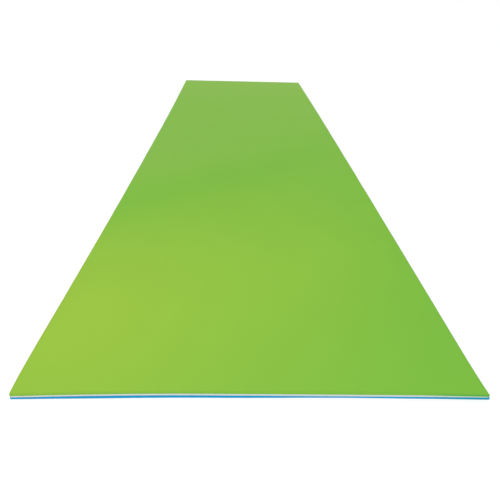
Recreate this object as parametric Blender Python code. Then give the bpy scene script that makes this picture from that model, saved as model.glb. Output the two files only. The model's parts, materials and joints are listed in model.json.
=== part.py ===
"""Swim float mat: three sheets of closed-cell foam, fused face to face and trimmed to one rectangle.

Lengths are in metres, +Z is up and +Y runs along the mat. The origin is the middle of the underside.
Run it with Blender 4.5: blender --background --python part.py
"""

import bmesh
import bpy

MM = 0.001
FOOT = 0.3048

# Plan of the mat, measured on its top face
MAT_LENGTH = 18 * FOOT
MAT_WIDTH = 6 * FOOT
CORNER_RADIUS = 3 * MM

# Sheets, from the underside up, and the melted film that joins each to the next
BOTTOM_THICKNESS = 10.8 * MM
CORE_THICKNESS = 10.8 * MM
TOP_THICKNESS = 10.8 * MM
FUSED_JOINT = 0.3 * MM
MAT_THICKNESS = BOTTOM_THICKNESS + CORE_THICKNESS + TOP_THICKNESS + 2 * FUSED_JOINT

# The knife leans on the long sides: how much further out the underside stands than the top face
CUT_LEAN = 5 * MM

# Edges: the knife drags the outer skin round, and the heat shrinks the foam back along each joint
OUTER_RIM_RADIUS = 1.2 * MM
JOINT_RIM_RADIUS = 0.5 * MM

CORNER_SEGMENTS = 6
RIM_SEGMENTS = 3

# Foam finishes: linear red, green and blue, and roughness
GREEN_FOAM = (0.213, 0.540, 0.061)
WHITE_FOAM = (0.680, 0.770, 0.740)
BLUE_FOAM = (0.004, 0.375, 0.730)
SKIN_ROUGHNESS = 0.55
CUT_ROUGHNESS = 0.75


def clear_scene():
    """Remove every object, so that only the mat is left."""
    for old in list(bpy.data.objects):
        bpy.data.objects.remove(old)


def new_collection(name):
    """A collection of the scene for the mat's sheets."""
    collection = bpy.data.collections.new(name)
    bpy.context.scene.collection.children.link(collection)
    return collection


def foam_material(name, colour, roughness):
    """A plain dyed foam."""
    material = bpy.data.materials.new(name)
    material.use_nodes = True
    shader = material.node_tree.nodes["Principled BSDF"]
    shader.inputs["Base Color"].default_value = (*colour, 1)
    shader.inputs["Roughness"].default_value = roughness
    shader.inputs["Metallic"].default_value = 0
    return material


def half_width(height):
    """Half the width of the mat at a height above its underside."""
    return MAT_WIDTH / 2 + CUT_LEAN * (1 - height / MAT_THICKNESS)


def lean_sides(mesh, underside, thickness):
    """Set the long sides of a sheet to the slant of the cut."""
    for vert in mesh.verts:
        height = underside + thickness / 2 + vert.co.z
        vert.co.x *= half_width(height) / (MAT_WIDTH / 2)


def round_edges(mesh, edges, radius, segments):
    """Round the given edges of the sheet to a radius."""
    bmesh.ops.bevel(
        mesh,
        geom=edges,
        offset=radius,
        offset_type="OFFSET",
        segments=segments,
        profile=0.5,
        affect="EDGES",
        clamp_overlap=True,
    )


def upright_edges(mesh):
    """The four edges at the corners of the plan."""
    return [edge for edge in mesh.edges if edge.verts[0].co.z * edge.verts[1].co.z < 0]


def rim_edges(mesh, side):
    """The loop of edges round the upper face, side 1, or the lower face, side -1."""
    faces = [face for face in mesh.faces if face.normal.z * side > 0]
    return list(faces[0].edges)


def foam_sheet(name, collection, material, underside, thickness, upper_rim, lower_rim):
    """One sheet lying flat, with rounded corners and eased rims. Its origin is the middle of its underside."""
    mesh = bmesh.new()
    bmesh.ops.create_cube(mesh, size=1)
    bmesh.ops.scale(mesh, vec=(MAT_WIDTH, MAT_LENGTH, thickness), verts=mesh.verts)
    round_edges(mesh, upright_edges(mesh), CORNER_RADIUS, CORNER_SEGMENTS)
    mesh.normal_update()
    round_edges(mesh, rim_edges(mesh, 1), upper_rim, RIM_SEGMENTS)
    mesh.normal_update()
    round_edges(mesh, rim_edges(mesh, -1), lower_rim, RIM_SEGMENTS)
    lean_sides(mesh, underside, thickness)
    bmesh.ops.translate(mesh, vec=(0, 0, thickness / 2), verts=mesh.verts)

    data = bpy.data.meshes.new(name)
    mesh.to_mesh(data)
    mesh.free()
    data.materials.append(material)
    sheet = bpy.data.objects.new(name, data)
    sheet.location = (0, 0, underside)
    collection.objects.link(sheet)
    return sheet


def main():
    clear_scene()
    mat = new_collection("swim_float_mat")

    bottom_underside = 0
    core_underside = bottom_underside + BOTTOM_THICKNESS + FUSED_JOINT
    top_underside = core_underside + CORE_THICKNESS + FUSED_JOINT

    foam_sheet(
        "bottom_foam_sheet",
        mat,
        foam_material("blue_foam", BLUE_FOAM, SKIN_ROUGHNESS),
        bottom_underside,
        BOTTOM_THICKNESS,
        upper_rim=JOINT_RIM_RADIUS,
        lower_rim=OUTER_RIM_RADIUS,
    )
    foam_sheet(
        "core_foam_sheet",
        mat,
        foam_material("white_foam", WHITE_FOAM, CUT_ROUGHNESS),
        core_underside,
        CORE_THICKNESS,
        upper_rim=JOINT_RIM_RADIUS,
        lower_rim=JOINT_RIM_RADIUS,
    )
    foam_sheet(
        "top_foam_sheet",
        mat,
        foam_material("green_foam", GREEN_FOAM, SKIN_ROUGHNESS),
        top_underside,
        TOP_THICKNESS,
        upper_rim=OUTER_RIM_RADIUS,
        lower_rim=JOINT_RIM_RADIUS,
    )


main()
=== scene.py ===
"""Swim float mat: its green, white and blue foam sheets, the floor it lies on, soft light and a camera.

Lengths are in metres. +Z is up, and +Y runs along the mat, away from the camera.
The floor is at zero height.
"""

import json
import math

import bmesh
import bpy
from bpy.props import FloatProperty, FloatVectorProperty, IntProperty, PointerProperty
from mathutils import Matrix, Vector, noise


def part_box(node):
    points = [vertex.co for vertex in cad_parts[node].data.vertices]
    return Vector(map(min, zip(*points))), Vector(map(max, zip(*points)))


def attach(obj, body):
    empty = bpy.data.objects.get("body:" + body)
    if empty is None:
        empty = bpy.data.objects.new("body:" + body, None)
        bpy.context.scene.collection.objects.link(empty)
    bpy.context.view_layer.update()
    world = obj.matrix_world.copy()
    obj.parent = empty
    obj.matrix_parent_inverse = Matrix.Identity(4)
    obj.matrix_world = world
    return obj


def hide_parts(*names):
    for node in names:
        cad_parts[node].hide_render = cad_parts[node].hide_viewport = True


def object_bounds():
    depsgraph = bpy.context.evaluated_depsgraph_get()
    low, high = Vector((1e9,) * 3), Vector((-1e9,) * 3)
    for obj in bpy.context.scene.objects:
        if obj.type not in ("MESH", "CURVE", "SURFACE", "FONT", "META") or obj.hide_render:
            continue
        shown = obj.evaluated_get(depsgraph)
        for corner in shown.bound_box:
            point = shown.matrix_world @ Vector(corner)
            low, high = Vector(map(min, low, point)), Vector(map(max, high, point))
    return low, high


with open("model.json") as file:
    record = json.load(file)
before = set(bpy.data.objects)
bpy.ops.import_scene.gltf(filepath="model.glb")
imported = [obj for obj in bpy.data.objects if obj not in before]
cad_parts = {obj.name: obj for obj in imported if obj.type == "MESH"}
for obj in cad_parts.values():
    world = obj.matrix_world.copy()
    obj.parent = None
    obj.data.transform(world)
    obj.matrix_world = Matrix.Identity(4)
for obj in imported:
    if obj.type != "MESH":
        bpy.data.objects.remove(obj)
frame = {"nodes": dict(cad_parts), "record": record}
cad_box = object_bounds()

bl_info = {
    "name": "Swim Float Mat",
    "version": (1, 0, 0),
    "blender": (4, 5, 0),
    "location": "View3D > Sidebar > Float Mat",
    "description": "Makes the foam sheets of a swim float mat and sets them on a white floor",
    "category": "Object",
}

MM = 0.001
WHITE = (1.0, 1.0, 1.0)
COLLECTION = "swim_float_mat_looks"

# Side of the picture and shift of the lens, in pixels
IMAGE_SIDE = 500
LENS_SHIFT = (3.30, -28)


def slot_colour(slot):
    """The colour that the record gives a foam, linear red, green and blue."""
    return next(m["base_color"][:3] for m in frame["record"]["materials"] if m["slot"] == slot)


def colour_property(name, description, default):
    """A setting for a colour."""
    return FloatVectorProperty(
        name=name, description=description, default=default, subtype="COLOR", size=3, min=0, max=1
    )


def tint_property(name, description, default):
    """A setting for factors of red, green and blue, which may be above 1."""
    return FloatVectorProperty(name=name, description=description, default=default, size=3, min=0)


def number_property(name, description, default):
    """A setting for a strength, a share or a roughness."""
    return FloatProperty(name=name, description=description, default=default, min=0)


def length_property(name, description, default):
    """A setting for a length."""
    return FloatProperty(name=name, description=description, default=default, unit="LENGTH", min=0)


def offsets_property(name, description, default):
    """A setting for the offsets of a trimmed side, in their order along it and given in millimetres."""
    metres = [offset * MM for offset in default]
    return FloatVectorProperty(
        name=name, description=description, default=metres, unit="LENGTH", size=len(metres)
    )


class FloatMatShape(bpy.types.PropertyGroup):
    """Sizes of the foam's surface that the plain sheets leave out."""

    corner_radius: length_property("Corner radius", "Rounding of the mat's corners, from above", 3 * MM)
    outer_rim: length_property("Outer rim", "Rounding where the skin turns over the knife cut", 1.1 * MM)
    joint_rim: length_property("Joint rim", "Rounding on both sides of a fused joint", 0.6 * MM)
    joint_gap: length_property("Joint gap", "Space left between two fused sheets", 0.04 * MM)
    cut_lean: length_property(
        "Cut lean",
        "How much further out the underside stands than the top face, on the long sides",
        4.7 * MM,
    )
    cut_bulge: length_property("Cut bulge", "How far the cut side of one sheet swells", 0.35 * MM)
    cut_ripple: length_property("Cut ripple", "How far the knife wanders over a hand's width", 0.3 * MM)
    grid_pitch: length_property("Grid pitch", "Distance between the mesh's lines", 25 * MM)
    roll_lift: length_property("Roll lift", "Full height of the swells left by the stored roll", 3.2 * MM)
    roll_spacing: length_property("Roll spacing", "Distance from one swell to the next", 0.52)
    left_wander: offsets_property(
        "Left side wander",
        "How far the left side is off a straight line, from the near end to the far end",
        (-0.8, -6.6, -1.6, 4.5, 5.4, -2.6, -29.0),
    )
    right_wander: offsets_property(
        "Right side wander",
        "How far the right side is off a straight line, from the near end to the far end",
        (3.0, -2.6, -0.6, 1.9, 3.0, 3.0, -7.5),
    )
    near_wander: offsets_property(
        "Near end wander",
        "How far the near end is off a straight line, from left to right",
        (-6.4, 1.4, 5.1, 3.8, 2.4, -0.1, -6.0),
    )
    core_near_out: offsets_property(
        "Core sheet, near end",
        "How far the core sheet stands out past the top one at the near end, from left to right",
        (-1.8, -0.2, 0.5, 0.4, 0.6, 0.1, -3.0),
    )
    bottom_near_out: offsets_property(
        "Bottom sheet, near end",
        "How far the bottom sheet stands out past the top one at the near end, from left to right",
        (-1.2, 2.9, 3.3, 2.4, 0.1, 0.8, -1.0),
    )
    bottom_sides_out: offsets_property(
        "Bottom sheet, sides",
        "How far the bottom sheet stands out past the top one on the left and right, at the near end",
        (2.0, 5.5),
    )
    rim_segments: IntProperty(name="Rim segments", description="Steps round a rim", default=4, min=2)
    cut_rows: IntProperty(name="Cut rows", description="Rows of faces up a cut side", default=6, min=2)


class FloatMatFoam(bpy.types.PropertyGroup):
    """Colours, textures and finish of the foams, and the shade and sheen painted on them."""

    green: colour_property("Green foam", "Dyed foam of the top sheet", slot_colour("green_foam"))
    white: colour_property("White foam", "Undyed foam of the core sheet", slot_colour("white_foam"))
    blue: colour_property("Blue foam", "Dyed foam of the bottom sheet", slot_colour("blue_foam"))

    skin_cell: length_property("Skin cell", "Width of a foam cell under the skin", 0.9 * MM)
    cut_cell: length_property("Cut cell", "Width of a foam cell that the knife opened", 1.3 * MM)
    peel: length_property("Orange peel", "Width of the skin's soft dimples", 7 * MM)
    streak: length_property("Roller streak", "Width of the streaks that the rollers leave", 18 * MM)
    cloud: length_property("Dye cloud", "Width of the cloudy patches in the dye", 0.35)
    chatter: length_property("Knife chatter", "Width of the ripples that cross the cut", 4 * MM)
    # Band along a rim that is partly rubbed foam and partly painted shade
    wear_and_shade: length_property("Rim wear", "Width of the rubbed band along a rim", 11 * MM)

    peel_depth: length_property("Orange peel depth", "Depth of the soft dimples", 0.10 * MM)
    streak_depth: length_property("Roller streak depth", "Depth of the streaks", 0.04 * MM)
    skin_cell_depth: length_property("Skin cell depth", "Height of a cell under the skin", 0.022 * MM)
    burst_depth: length_property("Burst depth", "Depth of the pit that a burst cell leaves", 0.12 * MM)
    cut_cell_depth: length_property("Cut cell depth", "Height of an opened cell", 0.16 * MM)
    knife_line_depth: length_property("Knife line depth", "Depth of the lines along the cut", 0.10 * MM)
    chatter_depth: length_property("Knife chatter depth", "Depth of the ripples", 0.22 * MM)

    # Painted shade, tinted green, on the cut at the near end up to its right corner: how far it runs, and
    # its colour change on each foam
    corner_shade_reach: length_property("Glaze reach", "How far the glaze runs from the near right corner", 0.27)
    green_corner_shade: tint_property("Green glaze", "Colour change of the glazed green cut", (0.45, 0.86, 1.1))
    white_corner_shade: tint_property("White glaze", "Colour change of the glazed white cut", (0.93, 1.0, 0.85))
    blue_corner_shade: tint_property("Blue glaze", "Colour change of the glazed blue cut", (1.0, 0.93, 0.75))

    # Painted light on the outer skins: a slanted band of painted shade, with painted sheen beyond it toward
    # the far end.
    mark_place: FloatProperty(
        name="Roll mark place",
        description="Where the mark of the stored roll crosses the middle of the mat, from its centre",
        default=-0.82,
        unit="LENGTH",
    )
    mark_slant: FloatProperty(
        name="Roll mark slant",
        description="How far the mark runs along the mat for each metre across",
        default=0.69,
    )
    mark_width: length_property("Roll mark width", "Half the width of the deeper band in the mark", 0.5)
    mark_reach: length_property("Roll mark reach", "How far the paler skin runs on from the mark", 2.4)
    # Colour changes of the painted shade in the band and of the painted sheen beyond it
    painted_shade_band_tint: tint_property("Roll mark band", "Colour change in the deeper band", (0.87, 0.985, 0.98))
    painted_sheen_tint: tint_property("Roll mark paler skin", "Colour change beyond the band", (1.07, 1.0, 1.27))

    skin_roughness: number_property("Skin roughness", "Roughness of the rolled skin", 0.6)
    core_roughness: number_property("Core roughness", "Roughness of the core sheet's faces", 0.75)
    shine: number_property("Shine", "Strength of the foam's clear reflection", 0.02)
    sheen: number_property("Sheen", "Strength of the skin's bloom at a flat angle", 0.345)
    sheen_roughness: number_property("Sheen roughness", "How widely the bloom spreads", 0.3)
    sheen_colour: colour_property("Sheen colour", "Colour of the bloom", (1.0, 0.62, 0.44))


class FloatMatStage(bpy.types.PropertyGroup):
    """Floor, light and camera."""

    floor_side: length_property("Floor side", "Side of the square floor", 80.0)
    floor_colour: colour_property("Floor colour", "Paint of the floor", (0.88, 0.88, 0.88))
    floor_glow: number_property("Floor glow", "Strength of the white that the camera sees on it", 0.79)
    floor_shade: number_property("Floor shade", "Share of the light on it that the camera sees", 0.3)
    sky: number_property("Sky", "Strength of the even light from all round", 0.895)
    sensor: FloatProperty(name="Sensor", description="Its width in millimetres", default=36.0, min=1)
    lens: FloatProperty(name="Lens", description="Focal length in millimetres", default=26.178, min=1)
    sight: length_property("Sight", "How far the camera sees", 200.0)
    camera_place: FloatVectorProperty(
        name="Camera place",
        description="Where the camera stands, in front of the mat's near end",
        default=(-0.0676, -3.5547, 1.3344),
        subtype="TRANSLATION",
        size=3,
    )
    camera_turn: FloatVectorProperty(
        name="Camera turn",
        description="Yaw to the right, pitch down and roll of the camera",
        default=(math.radians(1.672), math.radians(32.798), math.radians(-1.658)),
        subtype="EULER",
        size=3,
    )
    camera_shift: FloatVectorProperty(
        name="Camera shift",
        description="Sideways and upward lens shift as a share of the picture",
        default=[pixels / IMAGE_SIDE for pixels in LENS_SHIFT],
        size=2,
    )


# Node trees

# Places of the colour sockets among the inputs and outputs of a Mix node
MIX_FIRST = 6
MIX_SECOND = 7
MIX_RESULT = 2


def add_node(tree, kind, inputs=None, **settings):
    """Add a node, set its options and fill its inputs from sockets or plain values."""
    node = tree.nodes.new("ShaderNode" + kind)
    for key, value in settings.items():
        setattr(node, key, value)
    for key, value in (inputs or {}).items():
        if isinstance(value, bpy.types.NodeSocket):
            tree.links.new(value, node.inputs[key])
        else:
            node.inputs[key].default_value = value
    return node


def maths(tree, operation, first, second=0.0, third=0.0, clamp=False):
    """One sum on numbers."""
    inputs = {0: first, 1: second, 2: third}
    return add_node(tree, "Math", inputs, operation=operation, use_clamp=clamp).outputs[0]


def spread(tree, value, low, high, to_low=0.0, to_high=1.0):
    """Stretch a value from one range to another, with a soft start and end."""
    inputs = {"Value": value, "From Min": low, "From Max": high, "To Min": to_low, "To Max": to_high}
    return add_node(tree, "MapRange", inputs, interpolation_type="SMOOTHSTEP").outputs["Result"]


def mix_colours(tree, share, first, second, blend="MIX"):
    """Blend two colours by a share."""
    inputs = {0: share, MIX_FIRST: first, MIX_SECOND: second}
    return add_node(tree, "Mix", inputs, data_type="RGBA", blend_type=blend).outputs[MIX_RESULT]


def noise_value(tree, place, scale, detail=2.0, roughness=0.5):
    """Soft noise from 0 to 1."""
    inputs = {"Vector": place, "Scale": scale, "Detail": detail, "Roughness": roughness}
    return add_node(tree, "TexNoise", inputs).outputs["Fac"]


def cell_distance(tree, place, scale, scatter):
    """Distance from the middle of the nearest of many scattered cells, in cell widths."""
    inputs = {"Vector": place, "Scale": scale, "Randomness": scatter}
    return add_node(tree, "TexVoronoi", inputs).outputs["Distance"]


def per_metre(tree, width):
    """How often a width goes into a metre."""
    return maths(tree, "DIVIDE", 1.0, width)


def stretched(tree, place, x, y, z):
    """The place, scaled by its own number of steps a metre along each axis."""
    scales = add_node(tree, "CombineXYZ", {"X": x, "Y": y, "Z": z}).outputs[0]
    return add_node(tree, "VectorMath", {0: place, 1: scales}, operation="MULTIPLY").outputs[0]


def toned(colour, factor=1.0):
    """A colour with its alpha, made darker or lighter by a factor."""
    return (*(c * factor for c in colour), 1.0)


# Effects that the foams share

# Detail and roughness of the noise in each effect
PEEL_NOISE = (1.5, 0.5)
STREAK_NOISE = (2.0, 0.6)
CLOUD_NOISE = (3.0, 0.55)
KNIFE_NOISE = (2.0, 0.6)
RIM_BAND_NOISE = (4.0, 0.65)


def new_group(name, numbers, masks):
    """A node group that takes a place and named numbers, and puts out named masks and heights.

    Returns its tree, the sockets that bring its inputs and the sockets that take its outputs.
    """
    tree = bpy.data.node_groups.new(name, "ShaderNodeTree")
    tree.interface.new_socket("Place", in_out="INPUT", socket_type="NodeSocketVector")
    for label in numbers:
        tree.interface.new_socket(label, in_out="INPUT", socket_type="NodeSocketFloat")
    for label in masks:
        tree.interface.new_socket(label, in_out="OUTPUT", socket_type="NodeSocketFloat")
    return tree, tree.nodes.new("NodeGroupInput").outputs, tree.nodes.new("NodeGroupOutput").inputs


# How freely the cells lie, and those that burst, from 0 for a grid to 1
CELL_SCATTER = 0.9
BURST_SCATTER = 1.0
# Share of a cell's width, from its middle, at which its dome has come down
DOME_SHARE = 0.75
# Distance between burst cells, and the shares of it, from the middle, where a pit starts to rise and ends
BURST_SPACING = 45 * MM
BURST_SHARES = (0.018, 0.034)


def cell_group():
    """Foam cells: domed walls, and the few that burst."""
    tree, given, out = new_group("foam_cells", ["Cell Width"], ["Height", "Burst"])
    cells = cell_distance(tree, given["Place"], per_metre(tree, given["Cell Width"]), CELL_SCATTER)
    tree.links.new(spread(tree, cells, 0.0, DOME_SHARE, 1.0, 0.0), out["Height"])
    burst = cell_distance(tree, given["Place"], 1 / BURST_SPACING, BURST_SCATTER)
    tree.links.new(spread(tree, burst, *BURST_SHARES, 1.0, 0.0), out["Burst"])
    return tree


# Width of a streak as a share of its length
STREAK_WIDTH_SHARE = 0.012
# Noise at which a cloud of dye starts and is full
CLOUD_RANGE = (0.3, 0.7)


def skin_group():
    """The rolled skin: soft dimples, streaks along the sheet, and cloudy patches of dye."""
    tree, given, out = new_group(
        "rolled_skin", ["Peel Width", "Streak Width", "Cloud Width"], ["Peel", "Streak", "Cloud"]
    )
    place = given["Place"]
    peel = noise_value(tree, place, per_metre(tree, given["Peel Width"]), *PEEL_NOISE)
    tree.links.new(peel, out["Peel"])
    across = per_metre(tree, given["Streak Width"])
    along = maths(tree, "MULTIPLY", across, STREAK_WIDTH_SHARE)
    streaks = noise_value(tree, stretched(tree, place, across, along, along), 1.0, *STREAK_NOISE)
    tree.links.new(streaks, out["Streak"])
    cloud = noise_value(tree, place, per_metre(tree, given["Cloud Width"]), *CLOUD_NOISE)
    tree.links.new(spread(tree, cloud, *CLOUD_RANGE), out["Cloud"])
    return tree


# How often a metre the knife's lines change along the side and up it
LINES_ALONG = 7.0
LINES_UP = 1900.0
# How often a metre its chatter changes up the side
CHATTER_UP = 30.0


def knife_group():
    """The knife's cut: fine lines along the side, and the chatter that crosses them."""
    tree, given, out = new_group("knife_cut", ["Chatter Width"], ["Line", "Chatter"])
    parts = add_node(tree, "SeparateXYZ", {0: given["Place"]}).outputs
    run = maths(tree, "ADD", parts["X"], parts["Y"])
    unrolled = add_node(tree, "CombineXYZ", {"X": run, "Z": parts["Z"]}).outputs[0]
    lines = noise_value(tree, stretched(tree, unrolled, LINES_ALONG, 0.0, LINES_UP), 1.0, *KNIFE_NOISE)
    tree.links.new(lines, out["Line"])
    along = per_metre(tree, given["Chatter Width"])
    chatter = noise_value(tree, stretched(tree, unrolled, along, 0.0, CHATTER_UP), 1.0, *KNIFE_NOISE)
    tree.links.new(chatter, out["Chatter"])
    return tree


# Patches of the rubbed and shaded band a metre, and the noise at which one starts and is full
RIM_BAND_PATCHES = 28.0
RIM_BAND_RANGE = (0.35, 0.7)
# Shares of the band's width that are rubbed and shaded between the patches and in them
RIM_BAND_WIDTH_SHARES = (0.7, 1.25)
# Share of the band's width, from the rim, that is rubbed and shaded in full
FULL_RIM_BAND_SHARE = 0.15


def rim_wear_and_shade_group():
    """Rubbed foam with painted shade along a rim, broken up so that it doesn't run as one line."""
    tree, given, out = new_group("rim_wear_and_shade", ["Inset", "Width"], ["Wear"])
    patchy = noise_value(tree, given["Place"], RIM_BAND_PATCHES, *RIM_BAND_NOISE)
    width_share = spread(tree, patchy, *RIM_BAND_RANGE, *RIM_BAND_WIDTH_SHARES)
    reach = maths(tree, "MULTIPLY", given["Width"], width_share)
    share = maths(tree, "DIVIDE", given["Inset"], reach)
    tree.links.new(spread(tree, share, FULL_RIM_BAND_SHARE, 1.0, 1.0, 0.0), out["Wear"])
    return tree


# How far the mark bends along the mat, for each square metre across
MARK_BOW = 0.17
# How widely it drifts along the mat, and how often a metre
MARK_DRIFT = 0.24
MARK_DRIFTS = 1.3
# Its strength in the middle of the mat, and what it loses for each metre to the right
MARK_STRENGTH = 0.55
MARK_LOSS = 0.5
# Distance over which the painted sheen sets in, and the share of its reach at which it starts to fade
PAINTED_SHEEN_START = 0.9
PAINTED_SHEEN_FADE_SHARE = 0.28


def sheen_and_shade_mark_group():
    """Painted light: a slanted band of painted shade, and painted sheen beyond it.

    Both fade to the right.
    """
    numbers = ["Start", "Slant", "Band Width", "Reach"]
    tree, given, out = new_group("painted_sheen_mark", numbers, ["Band", "Beyond"])
    parts = add_node(tree, "SeparateXYZ", {0: given["Place"]}).outputs
    bow = maths(tree, "MULTIPLY", maths(tree, "MULTIPLY", parts["X"], parts["X"]), MARK_BOW)
    start = maths(tree, "ADD", bow, given["Start"])
    line = maths(tree, "MULTIPLY_ADD", parts["X"], given["Slant"], start)
    uneven = noise_value(tree, given["Place"], MARK_DRIFTS)
    drift = maths(tree, "MULTIPLY_ADD", uneven, MARK_DRIFT, -MARK_DRIFT / 2)
    past = maths(tree, "ADD", maths(tree, "SUBTRACT", parts["Y"], line), drift)
    strength = maths(tree, "MULTIPLY_ADD", parts["X"], -MARK_LOSS, MARK_STRENGTH, clamp=True)
    band = spread(tree, maths(tree, "ABSOLUTE", past), 0.0, given["Band Width"], 1.0, 0.0)
    tree.links.new(maths(tree, "MULTIPLY", band, strength), out["Band"])
    fade_start = maths(tree, "MULTIPLY", given["Reach"], PAINTED_SHEEN_FADE_SHARE)
    fade = spread(tree, past, fade_start, given["Reach"], 1.0, 0.0)
    beyond = maths(tree, "MULTIPLY", spread(tree, past, 0.0, PAINTED_SHEEN_START), fade)
    tree.links.new(maths(tree, "MULTIPLY", beyond, strength), out["Beyond"])
    return tree


# Share of its reach, from the corner, over which the cut carries the painted shade in full
FULL_CORNER_SHADE_SHARE = 0.5
# How far in from the near end the painted shade starts to fade and ends
CORNER_SHADE_DEPTHS = (10 * MM, 40 * MM)


def corner_shade_group():
    """Painted shade, tinted green, on the cut at the near end, up to its right corner."""
    tree, given, out = new_group("painted_corner_shade", ["Corner X", "Corner Y", "Reach"], ["Glaze"])
    parts = add_node(tree, "SeparateXYZ", {0: given["Place"]}).outputs
    from_corner = maths(tree, "SUBTRACT", given["Corner X"], parts["X"])
    full = maths(tree, "MULTIPLY", given["Reach"], FULL_CORNER_SHADE_SHARE)
    across = spread(tree, from_corner, full, given["Reach"], 1.0, 0.0)
    from_end = maths(tree, "SUBTRACT", parts["Y"], given["Corner Y"])
    inward = spread(tree, from_end, *CORNER_SHADE_DEPTHS, 1.0, 0.0)
    tree.links.new(maths(tree, "MULTIPLY", across, inward), out["Glaze"])
    return tree


EFFECTS = {
    "foam_cells": cell_group,
    "rolled_skin": skin_group,
    "knife_cut": knife_group,
    "rim_wear_and_shade": rim_wear_and_shade_group,
    "painted_sheen_mark": sheen_and_shade_mark_group,
    "painted_corner_shade": corner_shade_group,
}


def place_effect(tree, name, inputs):
    """Put a shared effect in a material with its own values. The first use makes the effect."""
    group = bpy.data.node_groups.get(name) or EFFECTS[name]()
    return add_node(tree, "Group", inputs, node_tree=group).outputs


# Foams

# Tones as factors of the foam's colour. Dye goes from deep to pale, and an opened cell from wall to middle.
DYE_TONES = (0.992, 1.01)
STREAK_TONE = 0.985
# Darker rim: partly rubbed foam, partly painted shade
WORN_AND_SHADED_TONE = 0.85
CELL_TONES = (0.90, 1.04)
CHATTER_TONE = 0.96
MELTED_TONE = 0.7
# How much of its tone a rim takes, partly rubbed and partly painted shade, and a melted joint
WORN_AND_SHADED_SHARE = 0.45
MELTED_SHARE = 0.6
# Noise at which a chatter mark starts and is full
CHATTER_RANGE = (0.4, 0.65)
# How far the roughness goes up and down with the dye, and what a cut or a rubbed rim adds to it
ROUGHNESS_SPREAD = 0.03
OPENED_ROUGHNESS = 0.15


def face_colour(tree, place, skin, wear_and_shade, colour, skinned):
    """Colour of a sheet's faces: dye, streaks, a band of painted shade with painted sheen beyond it on an
    outer skin, and darker rims, partly rubbed and partly painted shade.
    """
    foam = bpy.context.scene.float_mat_foam
    dye = mix_colours(tree, skin["Cloud"], *(toned(colour, tone) for tone in DYE_TONES))
    streaks = mix_colours(tree, skin["Streak"], toned(WHITE, STREAK_TONE), toned(WHITE))
    face = mix_colours(tree, 1.0, dye, streaks, "MULTIPLY")
    # Painted shade in the slanted band and painted sheen beyond it, on an outer skin
    if skinned:
        sizes = {"Start": foam.mark_place, "Slant": foam.mark_slant, "Band Width": foam.mark_width}
        mark = place_effect(tree, "painted_sheen_mark", {"Place": place, "Reach": foam.mark_reach, **sizes})
        face = mix_colours(tree, mark["Band"], face, toned(foam.painted_shade_band_tint), "MULTIPLY")
        sheened = mix_colours(tree, 1.0, face, toned(foam.painted_sheen_tint), "MULTIPLY")
        face = mix_colours(tree, mark["Beyond"], face, sheened)
    # Darker rim band: partly rubbed foam, partly painted shade
    worn_and_shaded = maths(tree, "MULTIPLY", wear_and_shade["Wear"], WORN_AND_SHADED_SHARE)
    return mix_colours(tree, worn_and_shaded, face, toned(colour, WORN_AND_SHADED_TONE))


def cut_colour(tree, place, cells, knife, colour, corner_shade_tint):
    """Colour of the cut side: opened cells, the knife's chatter, and painted shade near the right corner of
    the near end.
    """
    foam = bpy.context.scene.float_mat_foam
    opened = mix_colours(tree, cells["Height"], *(toned(colour, tone) for tone in CELL_TONES))
    chatter = spread(tree, knife["Chatter"], *CHATTER_RANGE)
    chattered = mix_colours(tree, chatter, opened, toned(colour, CHATTER_TONE))
    # Painted shade, tinted green, on the cut toward the near right corner
    corner = {"Corner X": cad_box[1].x, "Corner Y": cad_box[0].y, "Reach": foam.corner_shade_reach}
    shaded_corner = place_effect(tree, "painted_corner_shade", {"Place": place, **corner})
    return mix_colours(tree, shaded_corner["Glaze"], chattered, toned(corner_shade_tint), "MULTIPLY")


def relief(tree, parts):
    """One height made of masks, each with its own depth."""
    height = 0.0
    for mask, depth in parts:
        height = maths(tree, "MULTIPLY_ADD", mask, depth, height)
    return height


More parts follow.
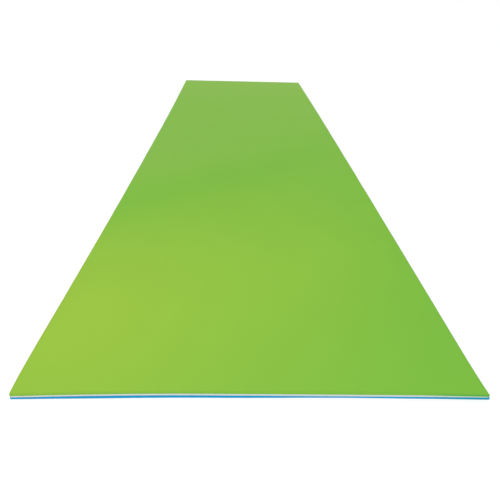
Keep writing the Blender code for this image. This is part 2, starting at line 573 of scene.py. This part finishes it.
def foam_material(name, colour, roughness, skinned, corner_shade_tint):
    """Closed-cell foam with a cut round its side that has painted shade near the near right corner, and
    with a mark of painted shade and painted sheen and a sheen if it is skinned.

    The mesh brings three values for each point: its inset from the side, and how much of it belongs to
    the side and to a seam.
    """
    foam = bpy.context.scene.float_mat_foam
    material = bpy.data.materials.new(name)
    material.use_nodes = True
    tree = material.node_tree
    shader = tree.nodes["Principled BSDF"]
    place = add_node(tree, "TexCoord").outputs["Object"]
    inset = add_node(tree, "Attribute", attribute_name="inset").outputs["Fac"]
    side = add_node(tree, "Attribute", attribute_name="side").outputs["Fac"]
    seam = add_node(tree, "Attribute", attribute_name="seam").outputs["Fac"]

    skin_cells = place_effect(tree, "foam_cells", {"Place": place, "Cell Width": foam.skin_cell})
    cut_cells = place_effect(tree, "foam_cells", {"Place": place, "Cell Width": foam.cut_cell})
    widths = {"Peel Width": foam.peel, "Streak Width": foam.streak, "Cloud Width": foam.cloud}
    skin = place_effect(tree, "rolled_skin", {"Place": place, **widths})
    knife = place_effect(tree, "knife_cut", {"Place": place, "Chatter Width": foam.chatter})
    wear_and_shade = place_effect(tree, "rim_wear_and_shade", {"Place": place, "Inset": inset, "Width": foam.wear_and_shade})

    face = face_colour(tree, place, skin, wear_and_shade, colour, skinned)
    cut = cut_colour(tree, place, cut_cells, knife, colour, corner_shade_tint)
    body = mix_colours(tree, side, face, cut)
    melted = maths(tree, "MULTIPLY", seam, MELTED_SHARE)
    finished = mix_colours(tree, melted, body, toned(colour, MELTED_TONE))
    tree.links.new(finished, shader.inputs["Base Color"])

    smoothest, roughest = roughness - ROUGHNESS_SPREAD, roughness + ROUGHNESS_SPREAD
    clouded = spread(tree, skin["Cloud"], 0.0, 1.0, smoothest, roughest)
    opened = maths(tree, "MULTIPLY", maths(tree, "MAXIMUM", side, wear_and_shade["Wear"]), OPENED_ROUGHNESS)
    tree.links.new(maths(tree, "ADD", clouded, opened), shader.inputs["Roughness"])

    face_parts = (
        (skin["Peel"], foam.peel_depth),
        (skin["Streak"], foam.streak_depth),
        (skin_cells["Height"], foam.skin_cell_depth),
        (skin_cells["Burst"], -foam.burst_depth),
    )
    cut_parts = (
        (cut_cells["Height"], foam.cut_cell_depth),
        (knife["Line"], foam.knife_line_depth),
        (knife["Chatter"], foam.chatter_depth),
    )
    face_share = maths(tree, "SUBTRACT", 1.0, side)
    cut_height = maths(tree, "MULTIPLY", relief(tree, cut_parts), side)
    height = maths(tree, "MULTIPLY_ADD", relief(tree, face_parts), face_share, cut_height)
    bump = add_node(tree, "Bump", {"Height": height, "Distance": 1.0, "Strength": 1.0})
    tree.links.new(bump.outputs["Normal"], shader.inputs["Normal"])

    shader.inputs["Specular IOR Level"].default_value = foam.shine
    if skinned:
        shader.inputs["Sheen Weight"].default_value = foam.sheen
        shader.inputs["Sheen Roughness"].default_value = foam.sheen_roughness
        shader.inputs["Sheen Tint"].default_value = toned(foam.sheen_colour)
    return material


# Shape of the sheets


def clamped(value):
    """A value held between 0 and 1."""
    return min(max(value, 0.0), 1.0)


def through(offsets, share):
    """A smooth line through evenly spaced offsets, at a share from 0 to 1 of its length."""
    last = len(offsets) - 1
    at = clamped(share) * last
    i = min(int(at), last - 1)
    t = at - i
    before = offsets[i - 1] if i > 0 else 2 * offsets[0] - offsets[1]
    after = offsets[i + 2] if i + 2 <= last else 2 * offsets[last] - offsets[last - 1]
    start, end = offsets[i], offsets[i + 1]
    linear = (end - before) * t
    square = (2 * before - 5 * start + 4 * end - after) * t**2
    cubic = (3 * start - before - 3 * end + after) * t**3
    return (2 * start + linear + square + cubic) / 2


# How far the swells run along the mat for each metre across, and bend for each square metre
SWELL_SLANT = 0.42
SWELL_BOW = 0.16
# A second row of swells: its own run and start, and its spacing and height as shares of the first row's
SECOND_SLANT = 0.11
SECOND_START = 1.3
SECOND_SPACING_SHARE = 0.61
SECOND_HEIGHT_SHARE = 0.5
# Clouds that break up the swells, so many a metre
CLOUDS_ACROSS = 0.9
CLOUDS_ALONG = 0.7
CLOUD_SEED = 4.2
# Shares of the full height: the level that swells and clouds start from, and what they add or take away
LEVEL_HEIGHT_SHARE = 0.42
SWELL_HEIGHT_SHARE = 0.25
CLOUD_HEIGHT_SHARE = 0.5
# Shares of the mat's length: where the swells begin and over what length they grow, counted from the near
# end, and where they have faded and over what length they do
SWELLS_FROM_SHARE = 0.14
SWELLS_GROW_SHARE = 0.2
SWELLS_TO_SHARE = 0.88
SWELLS_FADE_SHARE = 0.45


def rise(x, y):
    """How high the foam stands off the floor: low swells across the mat, which fade toward both ends."""
    shape = bpy.context.scene.float_mat_shape
    half = (cad_box[1].y - cad_box[0].y) / 2
    along = (y + half) / (2 * half)
    slanted = y - SWELL_SLANT * x + SWELL_BOW * x * x
    swell = math.sin(2 * math.pi * slanted / shape.roll_spacing)
    second_spacing = SECOND_SPACING_SHARE * shape.roll_spacing
    second = math.sin(2 * math.pi * (slanted + SECOND_SLANT * x) / second_spacing + SECOND_START)
    swell += SECOND_HEIGHT_SHARE * second
    cloud = noise.noise(Vector((x * CLOUDS_ACROSS, y * CLOUDS_ALONG, CLOUD_SEED)))
    grown = clamped((along - SWELLS_FROM_SHARE) / SWELLS_GROW_SHARE)
    faded = clamped((SWELLS_TO_SHARE - along) / SWELLS_FADE_SHARE)
    height_share = LEVEL_HEIGHT_SHARE + SWELL_HEIGHT_SHARE * swell + CLOUD_HEIGHT_SHARE * cloud
    return shape.roll_lift * (grown * faded) * max(0.0, height_share)


def half_width(height):
    """Half the mat's width at a height above its underside."""
    return cad_box[1].x - bpy.context.scene.float_mat_shape.cut_lean * height / cad_box[1].z


# How far in from the side the knife's ripple fades, and how often a metre it changes along the side and in
RIPPLE_DEPTH = 20 * MM
RIPPLES_ALONG = 9
RIPPLES_IN = 3
# Seeds of the ripple on the long sides and the ends
SIDE_SEED = 7.7
END_SEED = 2.1
# Power by which the near end's offsets fade along the mat
NEAR_FADE = 3


def trimmed(x, y, inset, near_out, sides_out):
    """A point of the straight mat, moved to where the knife and the stretch of the foam put it.

    A sheet stands out past the top one by near_out, from left to right along the near end, and by
    sides_out on its left and right there. The offsets of the long sides lie closest at the near end.
    """
    shape = bpy.context.scene.float_mat_shape
    half_x, half_y = half_width(cad_box[1].z), cad_box[1].y
    along = (y + half_y) / (2 * half_y)
    across = (x + half_x) / (2 * half_x)
    side_share = math.sqrt(max(along, 0.0))
    near_share = (1 - along) ** NEAR_FADE
    left_out, right_out = (out * near_share for out in sides_out)
    left = (through(shape.left_wander, side_share) - left_out) * (1 - across)
    right = (through(shape.right_wander, side_share) + right_out) * across
    near = (through(shape.near_wander, across) - through(near_out, across)) * near_share
    ripple = math.exp(-inset / RIPPLE_DEPTH) * shape.cut_ripple
    ripple_x = ripple * noise.noise(Vector((RIPPLES_ALONG * y, RIPPLES_IN * x, SIDE_SEED)))
    ripple_y = ripple * noise.noise(Vector((RIPPLES_ALONG * x, RIPPLES_IN * y, END_SEED)))
    return x + left + right + ripple_x, y + near + ripple_y


# Corner radii in from the side at which the mesh has its last two closer lines
CLOSE_LINES = (3, 7)


def grid_lines(length):
    """Places of the mesh's lines along one side: close together at the rims and even between."""
    shape = bpy.context.scene.float_mat_shape
    rim, corner = shape.outer_rim, shape.corner_radius
    angles = [math.pi / 2 * k / shape.rim_segments for k in range(shape.rim_segments + 1)]
    turns = [rim * (1 - math.cos(angle)) for angle in angles]
    steps = [*turns, (rim + corner) / 2, corner, *(radii * corner for radii in CLOSE_LINES)]
    inner = length - 2 * steps[-1]
    count = round(inner / shape.grid_pitch)
    middle = [steps[-1] + inner * k / count for k in range(1, count)]
    return [*steps, *middle, *(length - step for step in reversed(steps))]


def plan_points():
    """The top face from above: where its mesh lines cross, a point and its distance in from the side."""
    radius = bpy.context.scene.float_mat_shape.corner_radius
    half_x, half_y = half_width(cad_box[1].z), cad_box[1].y
    points = []
    for line_x in grid_lines(2 * half_x):
        row = []
        for line_y in grid_lines(2 * half_y):
            x, y = line_x - half_x, line_y - half_y
            inset = min(half_x - abs(x), half_y - abs(y))
            out_x, out_y = abs(x) - (half_x - radius), abs(y) - (half_y - radius)
            if out_x > 0 and out_y > 0:
                pull = max(out_x, out_y) / math.hypot(out_x, out_y)
                x = math.copysign(half_x - radius + out_x * pull, x)
                y = math.copysign(half_y - radius + out_y * pull, y)
            row.append((x, y, inset))
        points.append(row)
    return points


def rim_drop(inset, radius):
    """How far a rounded rim has turned down at a distance in from the side."""
    if inset >= radius:
        return 0.0
    return radius - math.sqrt(max(radius**2 - (radius - inset) ** 2, 0.0))


def outline(points):
    """Row and column of each point round the edge of the grid, anticlockwise from above."""
    last_x, last_y = len(points) - 1, len(points[0]) - 1
    near = [(i, 0) for i in range(last_x)]
    right = [(last_x, j) for j in range(last_y)]
    far = [(i, last_y) for i in range(last_x, 0, -1)]
    left = [(0, j) for j in range(last_y, 0, -1)]
    return near + right + far + left


def outward(x, y):
    """The way out of the mat at a point of its side, seen from above."""
    radius = bpy.context.scene.float_mat_shape.corner_radius
    past_x = max(abs(x) - half_width(cad_box[1].z) + radius, 0.0)
    past_y = max(abs(y) - cad_box[1].y + radius, 0.0)
    way = Vector((past_x, past_y)).normalized()
    return math.copysign(way.x, x), math.copysign(way.y, y)


# Share of a cut side's height over which the colour of a melted joint fades
SEAM_SHARE = 1 / 6


def sheet_mesh(name, low, high, rims, seams, near_out, sides_out):
    """One sheet as a closed mesh between two heights, with what the foam needs to know of each point.

    The rims are the roundings of its underside and its top. A seam is 1 where that face is fused, else 0.
    """
    shape = bpy.context.scene.float_mat_shape
    points = plan_points()
    mesh = bmesh.new()
    inset_layer = mesh.verts.layers.float.new("inset")
    side_layer = mesh.verts.layers.float.new("side")
    seam_layer = mesh.verts.layers.float.new("seam")

    def add(x, y, z, inset, side, seam, out=(0.0, 0.0)):
        place_x, place_y = trimmed(x, y, inset, near_out, sides_out)
        place_x *= half_width(z) / half_width(cad_box[1].z)
        vert = mesh.verts.new((place_x + out[0], place_y + out[1], z + rise(x, y)))
        vert[inset_layer] = inset
        vert[side_layer] = side
        vert[seam_layer] = seam
        return vert

    def face_grid(height, sign, rim, seam):
        grid = []
        for row in points:
            line = []
            for x, y, inset in row:
                drop = rim_drop(inset, rim)
                turned = min(drop / rim, 1.0)
                line.append(add(x, y, height - sign * drop, inset, turned, seam * turned))
            grid.append(line)
        for i in range(len(grid) - 1):
            for j in range(len(grid[0]) - 1):
                corners = [grid[i][j], grid[i + 1][j], grid[i + 1][j + 1], grid[i][j + 1]]
                mesh.faces.new(corners if sign > 0 else list(reversed(corners)))
        return grid

    def cut_row(share):
        swell = shape.cut_bulge * math.sin(math.pi * share)
        z = bottom + (top - bottom) * share
        seam = max(seams[0] * (1 - share / SEAM_SHARE), seams[1] * (1 - (1 - share) / SEAM_SHARE), 0.0)
        row = []
        for i, j in ring:
            x, y, _ = points[i][j]
            out_x, out_y = outward(x, y)
            row.append(add(x, y, z, 0.0, 1.0, seam, (out_x * swell, out_y * swell)))
        return row

    lower = face_grid(low, -1, rims[0], seams[0])
    upper = face_grid(high, 1, rims[1], seams[1])
    ring = outline(points)
    bottom, top = low + rims[0], high - rims[1]
    rows = [[lower[i][j] for i, j in ring]]
    rows += [cut_row(k / shape.cut_rows) for k in range(1, shape.cut_rows)]
    rows.append([upper[i][j] for i, j in ring])
    for below, above in zip(rows, rows[1:]):
        for k in range(len(ring)):
            n = (k + 1) % len(ring)
            mesh.faces.new([below[k], below[n], above[n], above[k]])
    mesh.normal_update()
    data = bpy.data.meshes.new(name)
    mesh.to_mesh(data)
    mesh.free()
    data.shade_smooth()
    return data


def make_sheet(name, node, material, near_out=(0.0, 0.0), sides_out=(0.0, 0.0)):
    """Build one foam sheet where its plain solid lies and put it in that solid's place.

    Toward the sheet that it is fused to, if there is one, it reaches to the middle of the joint.
    """
    if node not in frame["nodes"]:
        raise RuntimeError(f"the frame has no {node}")
    shape = bpy.context.scene.float_mat_shape
    lo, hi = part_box(node)
    boxes = [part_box(other) for other in frame["nodes"]]
    low, high = lo.z, hi.z
    below = [box[1].z for box in boxes if box[1].z <= lo.z]
    above = [box[0].z for box in boxes if box[0].z >= hi.z]
    if below:
        low = (max(below) + lo.z) / 2 + shape.joint_gap / 2
    if above:
        high = (min(above) + hi.z) / 2 - shape.joint_gap / 2
    seams = [1.0 if fused else 0.0 for fused in (below, above)]
    rims = [shape.joint_rim if fused else shape.outer_rim for fused in (below, above)]
    data = sheet_mesh(name, low, high, rims, seams, near_out, sides_out)
    data.materials.append(material)
    piece = bpy.data.objects.new(name, data)
    looks_collection().objects.link(piece)
    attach(piece, "root")
    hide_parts(node)
    return piece


def looks_collection():
    """The collection that holds the mat's sheets."""
    found = bpy.data.collections.get(COLLECTION)
    if found is None:
        found = bpy.data.collections.new(COLLECTION)
        bpy.context.scene.collection.children.link(found)
    return found


class FLOATMAT_OT_bottom_sheet(bpy.types.Operator):
    """Make the blue sheet that lies on the floor or the water"""

    bl_idname = "float_mat.bottom_sheet"
    bl_label = "Bottom Sheet"

    def execute(self, context):
        shape, foam = context.scene.float_mat_shape, context.scene.float_mat_foam
        material = foam_material(
            "blue_foam_skin_and_cut",
            colour=foam.blue,
            roughness=foam.skin_roughness,
            skinned=True,
            corner_shade_tint=foam.blue_corner_shade,
        )
        make_sheet(
            "bottom_sheet_blue",
            "bottom_foam_sheet",
            material,
            near_out=shape.bottom_near_out,
            sides_out=shape.bottom_sides_out,
        )
        return {"FINISHED"}


class FLOATMAT_OT_core_sheet(bpy.types.Operator):
    """Make the white sheet between the other two"""

    bl_idname = "float_mat.core_sheet"
    bl_label = "Core Sheet"

    def execute(self, context):
        shape, foam = context.scene.float_mat_shape, context.scene.float_mat_foam
        material = foam_material(
            "white_foam_cut",
            colour=foam.white,
            roughness=foam.core_roughness,
            skinned=False,
            corner_shade_tint=foam.white_corner_shade,
        )
        make_sheet(
            "core_sheet_white",
            "core_foam_sheet",
            material,
            near_out=shape.core_near_out,
        )
        return {"FINISHED"}


class FLOATMAT_OT_top_sheet(bpy.types.Operator):
    """Make the green sheet that people lie on"""

    bl_idname = "float_mat.top_sheet"
    bl_label = "Top Sheet"

    def execute(self, context):
        foam = context.scene.float_mat_foam
        material = foam_material(
            "green_foam_skin_and_cut",
            colour=foam.green,
            roughness=foam.skin_roughness,
            skinned=True,
            corner_shade_tint=foam.green_corner_shade,
        )
        make_sheet("top_sheet_green", "top_foam_sheet", material)
        return {"FINISHED"}


# Stage


def seen_share(tree):
    """1 for rays that come from the camera, a reflection or a clear piece, else 0."""
    path = add_node(tree, "LightPath").outputs
    seen = maths(tree, "MAXIMUM", path["Is Camera Ray"], path["Is Glossy Ray"])
    return maths(tree, "MAXIMUM", seen, path["Is Transmission Ray"])


def floor_material():
    """White floor: it glows white to the camera and still darkens a little where the mat shades it."""
    stage = bpy.context.scene.float_mat_stage
    material = bpy.data.materials.new("white_floor")
    material.use_nodes = True
    tree = material.node_tree
    tree.nodes.clear()
    lit = add_node(tree, "BsdfDiffuse", {"Color": toned(stage.floor_colour)}).outputs[0]
    dim_paint = toned(stage.floor_colour, stage.floor_shade)
    dim = add_node(tree, "BsdfDiffuse", {"Color": dim_paint}).outputs[0]
    glow = add_node(tree, "Emission", {"Color": toned(WHITE), "Strength": stage.floor_glow}).outputs[0]
    white = add_node(tree, "AddShader", {0: dim, 1: glow}).outputs[0]
    surface = add_node(tree, "MixShader", {0: seen_share(tree), 1: lit, 2: white}).outputs[0]
    output = add_node(tree, "OutputMaterial")
    tree.links.new(surface, output.inputs["Surface"])
    return material


def make_floor():
    """A large square floor at zero height."""
    stage = bpy.context.scene.float_mat_stage
    mesh = bmesh.new()
    bmesh.ops.create_grid(mesh, x_segments=1, y_segments=1, size=stage.floor_side / 2)
    data = bpy.data.meshes.new("floor")
    mesh.to_mesh(data)
    mesh.free()
    data.materials.append(floor_material())
    floor = bpy.data.objects.new("floor", data)
    bpy.context.scene.collection.objects.link(floor)


def make_sky():
    """Even light from all round, which the camera and reflections see as white."""
    stage = bpy.context.scene.float_mat_stage
    world = bpy.data.worlds.new("white_sky")
    world.use_nodes = True
    tree = world.node_tree
    tree.nodes.clear()
    strength = maths(tree, "MULTIPLY_ADD", seen_share(tree), 1.0 - stage.sky, stage.sky)
    sky = add_node(tree, "Background", {"Color": toned(WHITE), "Strength": strength}).outputs[0]
    output = add_node(tree, "OutputWorld")
    tree.links.new(sky, output.inputs["Surface"])
    bpy.context.scene.world = world


# Two small warm boxes over the near end, which light its left side, and a wide white one in front of it
SOFT_BOXES = {
    "key_left": {
        "place": (-0.75, -2.5, 1.17),
        "aim": (-1.1, -2.15, 0.0),
        "size": (0.6, 0.6),
        "colour": (1.0, 0.189, 0.069),
        "watts": 8.49,
    },
    "key_middle": {
        "place": (0.5, -2.06, 0.9),
        "aim": (-1.1, -1.07, 0.0),
        "size": (0.6, 0.6),
        "colour": (1.0, 0.253, 0.02),
        "watts": 2.46,
    },
    "front": {
        "place": (0.3, -4.9, 1.2),
        "aim": (0.0, -2.7, 0.0),
        "size": (3.0, 1.0),
        "colour": WHITE,
        "watts": 10.6,
    },
}


def make_lights():
    """The soft boxes, each turned to what it lights and hidden from the camera."""
    for name, box in SOFT_BOXES.items():
        data = bpy.data.lights.new(name, "AREA")
        data.shape = "RECTANGLE"
        data.size, data.size_y = box["size"]
        data.color = box["colour"]
        data.energy = box["watts"]
        lamp = bpy.data.objects.new(name, data)
        lamp.location = box["place"]
        lamp.rotation_mode = "QUATERNION"
        way = Vector(box["aim"]) - Vector(box["place"])
        lamp.rotation_quaternion = way.to_track_quat("-Z", "Y")
        lamp.visible_camera = False
        bpy.context.scene.collection.objects.link(lamp)


def make_camera():
    """A camera at chest height in front of the near end, looking down along the mat."""
    stage = bpy.context.scene.float_mat_stage
    yaw, pitch, roll = stage.camera_turn
    ahead = math.cos(pitch)
    forward = Vector((math.sin(yaw) * ahead, math.cos(yaw) * ahead, -math.sin(pitch)))
    level = Vector((math.cos(yaw), -math.sin(yaw), 0.0))
    down = forward.cross(level)
    right = math.cos(roll) * level + math.sin(roll) * down
    up = math.sin(roll) * level - math.cos(roll) * down
    data = bpy.data.cameras.new("camera")
    data.sensor_width = stage.sensor
    data.lens = stage.lens
    data.shift_x, data.shift_y = stage.camera_shift
    data.clip_end = stage.sight
    camera = bpy.data.objects.new("camera", data)
    turn = Matrix((right, up, -forward)).transposed().to_4x4()
    camera.matrix_world = Matrix.Translation(stage.camera_place) @ turn
    bpy.context.scene.collection.objects.link(camera)
    bpy.context.scene.camera = camera


class FLOATMAT_OT_stage(bpy.types.Operator):
    """Lay the floor, set the light and stand the camera in front of the mat"""

    bl_idname = "float_mat.stage"
    bl_label = "Stage"

    def execute(self, context):
        make_floor()
        make_sky()
        make_lights()
        make_camera()
        context.scene.view_settings.view_transform = "Standard"
        return {"FINISHED"}


class FLOATMAT_PT_panel(bpy.types.Panel):
    """Steps that make the mat, in the 3D view's sidebar"""

    bl_idname = "FLOATMAT_PT_panel"
    bl_label = "Float Mat"
    bl_space_type = "VIEW_3D"
    bl_region_type = "UI"
    bl_category = "Float Mat"

    def draw(self, context):
        column = self.layout.column(align=True)
        for step in STEPS:
            column.operator(step)
        for settings in (
            context.scene.float_mat_shape,
            context.scene.float_mat_foam,
            context.scene.float_mat_stage,
        ):
            box = self.layout.box()
            for key in settings.bl_rna.properties.keys():
                if key not in {"rna_type", "name"}:
                    box.prop(settings, key)


STEPS = (
    FLOATMAT_OT_bottom_sheet.bl_idname,
    FLOATMAT_OT_core_sheet.bl_idname,
    FLOATMAT_OT_top_sheet.bl_idname,
    FLOATMAT_OT_stage.bl_idname,
)
CLASSES = (
    FloatMatShape,
    FloatMatFoam,
    FloatMatStage,
    FLOATMAT_OT_bottom_sheet,
    FLOATMAT_OT_core_sheet,
    FLOATMAT_OT_top_sheet,
    FLOATMAT_OT_stage,
    FLOATMAT_PT_panel,
)


def register():
    """Add the settings, the steps and the panel to Blender."""
    for cls in CLASSES:
        bpy.utils.register_class(cls)
    bpy.types.Scene.float_mat_shape = PointerProperty(type=FloatMatShape)
    bpy.types.Scene.float_mat_foam = PointerProperty(type=FloatMatFoam)
    bpy.types.Scene.float_mat_stage = PointerProperty(type=FloatMatStage)


def unregister():
    """Take them out again."""
    del bpy.types.Scene.float_mat_stage
    del bpy.types.Scene.float_mat_foam
    del bpy.types.Scene.float_mat_shape
    for cls in reversed(CLASSES):
        bpy.utils.unregister_class(cls)


def main():
    """Make the mat and its stage."""
    register()
    bpy.ops.float_mat.bottom_sheet()
    bpy.ops.float_mat.core_sheet()
    bpy.ops.float_mat.top_sheet()
    bpy.ops.float_mat.stage()


if __name__ == "__main__":
    main()
